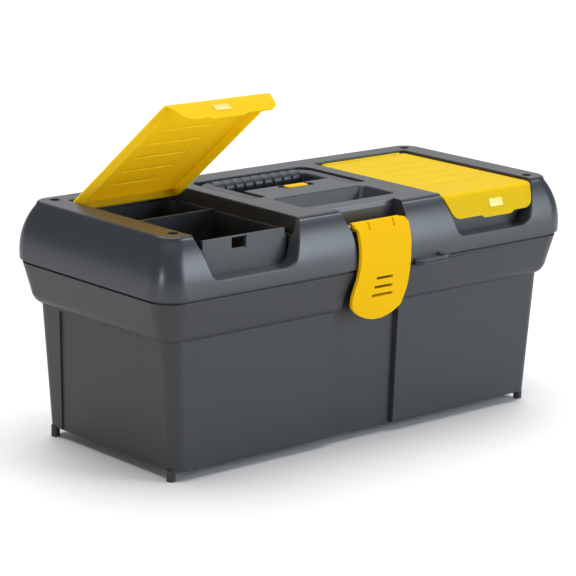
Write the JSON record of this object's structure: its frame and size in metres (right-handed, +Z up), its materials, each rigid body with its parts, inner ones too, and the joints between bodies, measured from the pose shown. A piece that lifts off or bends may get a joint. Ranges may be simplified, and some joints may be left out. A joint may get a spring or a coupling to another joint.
{
  "type": "toolbox with tray",
  "caption": "Moulded hand toolbox with a hinged lid, front latch, fold-down carry handle, covered organizer bins in the lid and a lift-out tray.",
  "frame": {"origin": "floor under the middle of the box, at the feet", "axes": "+X along the length with the padlock eye on the +X half, -Y towards the front latch, +Z up"},
  "size_m": [0.406, 0.2, 0.2677],
  "materials": {
    "base_plastic": "fine moulded texture, dark grey",
    "lid_plastic": "satin moulded, blue grey",
    "tray_plastic": "satin moulded, black",
    "grip_plastic": "ribbed matte, dark grey",
    "yellow_plastic": "semi-gloss moulded, bright yellow",
    "pin_steel": "drawn steel wire"
  },
  "bodies": {
    "base": {"base_tub": "base_plastic", "left_lid_hinge_pin": "pin_steel", "right_lid_hinge_pin": "pin_steel"},
    "tray": {"lift_out_tray": "tray_plastic", "tray_handle": "tray_plastic"},
    "lid": {"lid_shell": "lid_plastic", "badge_plate": "yellow_plastic", "latch_pivot_pin": "pin_steel", "left_organizer_bin": "lid_plastic", "right_organizer_bin": "lid_plastic", "left_bin_divider": "lid_plastic", "right_bin_divider": "lid_plastic", "left_organizer_hinge_rod": "pin_steel", "right_organizer_hinge_rod": "pin_steel", "left_handle_pin": "pin_steel", "right_handle_pin": "pin_steel"},
    "handle": {"carry_handle": "grip_plastic", "handle_grip": "grip_plastic"},
    "latch": {"front_latch": "yellow_plastic"},
    "left_cover": {"left_organizer_lid": "yellow_plastic"},
    "right_cover": {"right_organizer_lid": "yellow_plastic"}
  },
  "joints": [
    {"name": "lid_hinge", "type": "hinge", "parent": "base", "child": "lid", "pos_m": [0, 0.0955, 0.138], "axis": [-1, 0, 0], "range_deg": [0, 100]},
    {"name": "tray_lift", "type": "slide", "parent": "base", "child": "tray", "axis": [0, 0, 1], "range_m": [0, 0.022]},
    {"name": "handle_hinge", "type": "hinge", "parent": "lid", "child": "handle", "pos_m": [0, -0.007, 0.176], "axis": [1, 0, 0], "range_deg": [0, 95]},
    {"name": "latch_hinge", "type": "hinge", "parent": "lid", "child": "latch", "pos_m": [0, -0.0835, 0.168], "axis": [-1, 0, 0], "range_deg": [0, 110]},
    {"name": "left_organizer_hinge", "type": "hinge", "parent": "lid", "child": "left_cover", "pos_m": [-0.12105, 0.0605, 0.178], "axis": [-1, 0, 0], "range_deg": [-39, 61]},
    {"name": "right_organizer_hinge", "type": "hinge", "parent": "lid", "child": "right_cover", "pos_m": [0.12105, 0.0605, 0.178], "axis": [-1, 0, 0], "range_deg": [0, 100]}
  ]
}
